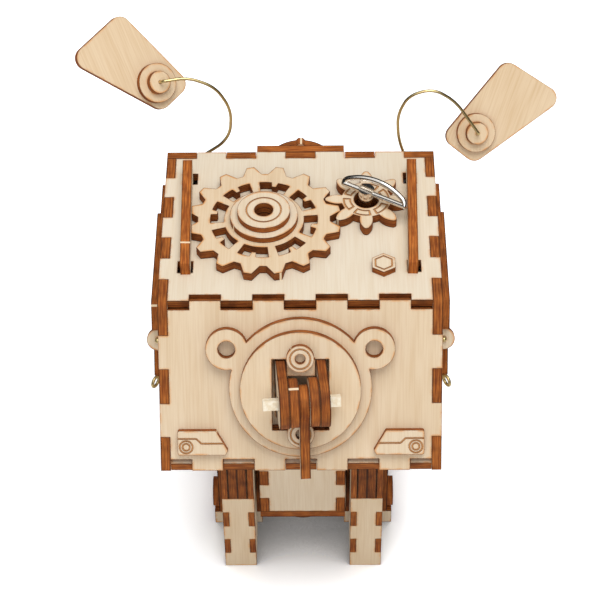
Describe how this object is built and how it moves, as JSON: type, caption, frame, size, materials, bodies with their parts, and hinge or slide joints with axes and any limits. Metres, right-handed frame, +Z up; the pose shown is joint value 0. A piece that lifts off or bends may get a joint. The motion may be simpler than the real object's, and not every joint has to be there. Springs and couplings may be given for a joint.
{
  "type": "wooden music box",
  "caption": "Laser-cut plywood music box on legs, with a wind-up key and static gears on its top, a swinging layered tail, and wire-mounted ears.",
  "frame": {"origin": "on the floor, in the middle between the near edges of the hind feet and the far edges of the front feet", "axes": "+Z up, +Y from the slanted tail panel towards the face, +X to the right when the tail panel is seen from outside"},
  "size_m": [0.1518, 0.1236, 0.1595],
  "materials": {
    "birch_ply": "bare birch plywood, laser-cut, with dark burnt edges",
    "light_wood": "bare planed stick",
    "key_steel": "bright nickel plate",
    "brass_wire": "drawn wire, polished",
    "movement_metal": "plain machined steel",
    "movement_brass": "plain machined brass"
  },
  "bodies": {
    "case": {"top_panel": "birch_ply", "bottom_panel": "birch_ply", "tail_panel": "birch_ply", "face_panel": "birch_ply", "side_panel_left": "birch_ply", "side_panel_right": "birch_ply", "top_rails": "birch_ply", "big_gear": "birch_ply", "gear_hub_lower": "birch_ply", "gear_hub_upper": "birch_ply", "small_gear": "birch_ply", "hex_plate": "birch_ply", "ring_plate": "birch_ply", "tail_disc": "birch_ply", "stop_plate": "birch_ply", "tail_washers": "birch_ply", "corner_tags": "birch_ply", "tail_cheeks": "birch_ply", "side_shields": "birch_ply", "side_rear_plates": "birch_ply", "side_lugs": "birch_ply", "side_hooks": "brass_wire", "nose_bar": "birch_ply", "nose_discs": "birch_ply", "eyes": "birch_ply", "ear_sockets": "birch_ply", "torso_rear_panel": "birch_ply", "torso_front_panel": "birch_ply", "torso_sides": "birch_ply", "torso_base": "birch_ply", "hind_leg_sides": "birch_ply", "hind_leg_cores": "birch_ply", "hind_leg_fronts": "birch_ply", "front_leg_sides": "birch_ply", "front_leg_cores": "birch_ply", "front_ankle_discs": "birch_ply", "front_feet": "birch_ply", "front_foot_caps": "birch_ply", "leg_axles": "light_wood", "movement_base": "movement_metal", "spring_drum": "movement_metal", "mainspring": "movement_metal", "comb": "movement_metal", "governor_frame": "movement_metal", "movement_screws": "movement_metal"},
    "key": {"key_hub": "key_steel", "key_arbor": "movement_metal", "great_wheel": "movement_brass"},
    "bow": {"key_bow": "key_steel"},
    "tail": {"tail_spacers": "birch_ply", "tail_blade": "birch_ply", "tail_axle": "light_wood"},
    "ear_left": {"ear_wire_left": "brass_wire", "ear_plate_left": "birch_ply", "ear_bosses_left": "birch_ply"},
    "ear_right": {"ear_wire_right": "brass_wire", "ear_plate_right": "birch_ply", "ear_bosses_right": "birch_ply"},
    "cylinder": {"note_cylinder": "movement_brass"},
    "governor": {"governor_rotor": "movement_metal"}
  },
  "joints": [
    {"name": "key_turn", "type": "hinge", "parent": "case", "child": "key", "pos_m": [0.02045, 0.02545, 0.118], "axis": [0, 0, 1], "continuous": true},
    {"name": "key_bow_fold", "type": "hinge", "parent": "key", "child": "bow", "pos_m": [0.02045, 0.02545, 0.12425], "axis": [0.866, -0.5, 0], "range_deg": [-55, 110]},
    {"name": "tail_swing", "type": "hinge", "parent": "case", "child": "tail", "pos_m": [0.00094, -0.03999, 0.10095], "axis": [-0.9963, -0.0848, 0.0136], "range_deg": [-1, 65]},
    {"name": "ear_left_swivel", "type": "hinge", "parent": "case", "child": "ear_left", "pos_m": [-0.034, 0.05075, 0.111], "axis": [0, 1, 0], "range_deg": [-20, 20]},
    {"name": "ear_right_swivel", "type": "hinge", "parent": "case", "child": "ear_right", "pos_m": [0.034, 0.05075, 0.111], "axis": [0, 1, 0], "range_deg": [-20, 20]},
    {"name": "cylinder_turn", "type": "hinge", "parent": "case", "child": "cylinder", "pos_m": [0, 0.02545, 0.1034], "axis": [1, 0, 0], "continuous": true},
    {"name": "governor_turn", "type": "hinge", "parent": "case", "child": "governor", "pos_m": [-0.0162, 0.0338, 0.1034], "axis": [0, 0, 1], "continuous": true}
  ],
  "couplings": [
    {"joint": "cylinder_turn", "follows": "key_turn", "ratio": -2.9167},
    {"joint": "governor_turn", "follows": "key_turn", "ratio": 17.5}
  ]
}
